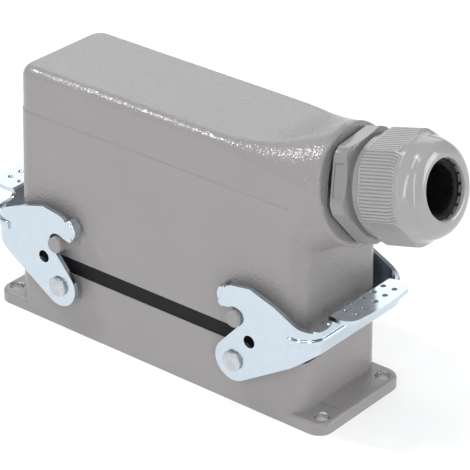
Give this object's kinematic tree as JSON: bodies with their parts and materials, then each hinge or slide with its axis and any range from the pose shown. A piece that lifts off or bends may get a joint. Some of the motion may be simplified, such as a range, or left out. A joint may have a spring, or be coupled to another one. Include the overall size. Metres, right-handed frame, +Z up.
{
  "type": "heavy duty rectangular connector",
  "caption": "Closed rectangular multi-pole connector: a tall hood with a sloping cable gland, locked on a flanged bulkhead base by two folded sheet levers.",
  "frame": {"origin": "centre of the base's four screw holes, on the underside of the flange where it meets the panel", "axes": "+X along the connector towards the cable gland, +Y across it, +Z up from the panel"},
  "size_m": [0.1752, 0.0538, 0.1017],
  "materials": {
    "housing_paint": "warm grey powder coat with a fine texture, half gloss",
    "lever_zinc": "bright blue zinc",
    "rivet_zinc": "dull zinc",
    "seal_rubber": "matt black",
    "bush_rubber": "matt dark grey",
    "gland_nylon": "light grey polyamide, glossy dome",
    "insert_plastic": "light grey",
    "contact_metal": "silver plated brass",
    "earth_steel": "zinc plated",
    "screw_steel": "zinc plated"
  },
  "bodies": {
    "housing": {"base_housing": "housing_paint", "hood_housing": "housing_paint", "panel_gasket": "seal_rubber", "mating_gasket": "seal_rubber", "gland_washer": "seal_rubber", "gland_seal": "bush_rubber", "lever_rivets": "rivet_zinc", "gland_body": "gland_nylon", "socket_insert": "insert_plastic", "pin_insert": "insert_plastic", "socket_contacts": "contact_metal", "pin_contacts": "contact_metal", "socket_earth_right": "earth_steel", "socket_earth_left": "earth_steel", "pin_earth_right": "earth_steel", "pin_earth_left": "earth_steel", "socket_fixing_screws": "screw_steel", "pin_fixing_screws": "screw_steel", "socket_earth_screws": "screw_steel", "pin_earth_screws": "screw_steel"},
    "lever_right": {"lever_right": "lever_zinc"},
    "lever_left": {"lever_left": "lever_zinc"},
    "cap_nut": {"cap_nut": "gland_nylon"}
  },
  "joints": [
    {"name": "lever_right_hinge", "type": "hinge", "parent": "housing", "child": "lever_right", "pos_m": [0.0368, 0, 0.018], "axis": [0, 1, 0], "range_deg": [0, 45]},
    {"name": "lever_left_hinge", "type": "hinge", "parent": "housing", "child": "lever_left", "pos_m": [-0.0368, 0, 0.018], "axis": [0, -1, 0], "range_deg": [0, 45]},
    {"name": "cap_nut_turn", "type": "hinge", "parent": "housing", "child": "cap_nut", "pos_m": [0.0649, 0, 0.0789], "axis": [0.9659, 0, 0.2588], "range_deg": [0, 360]}
  ]
}
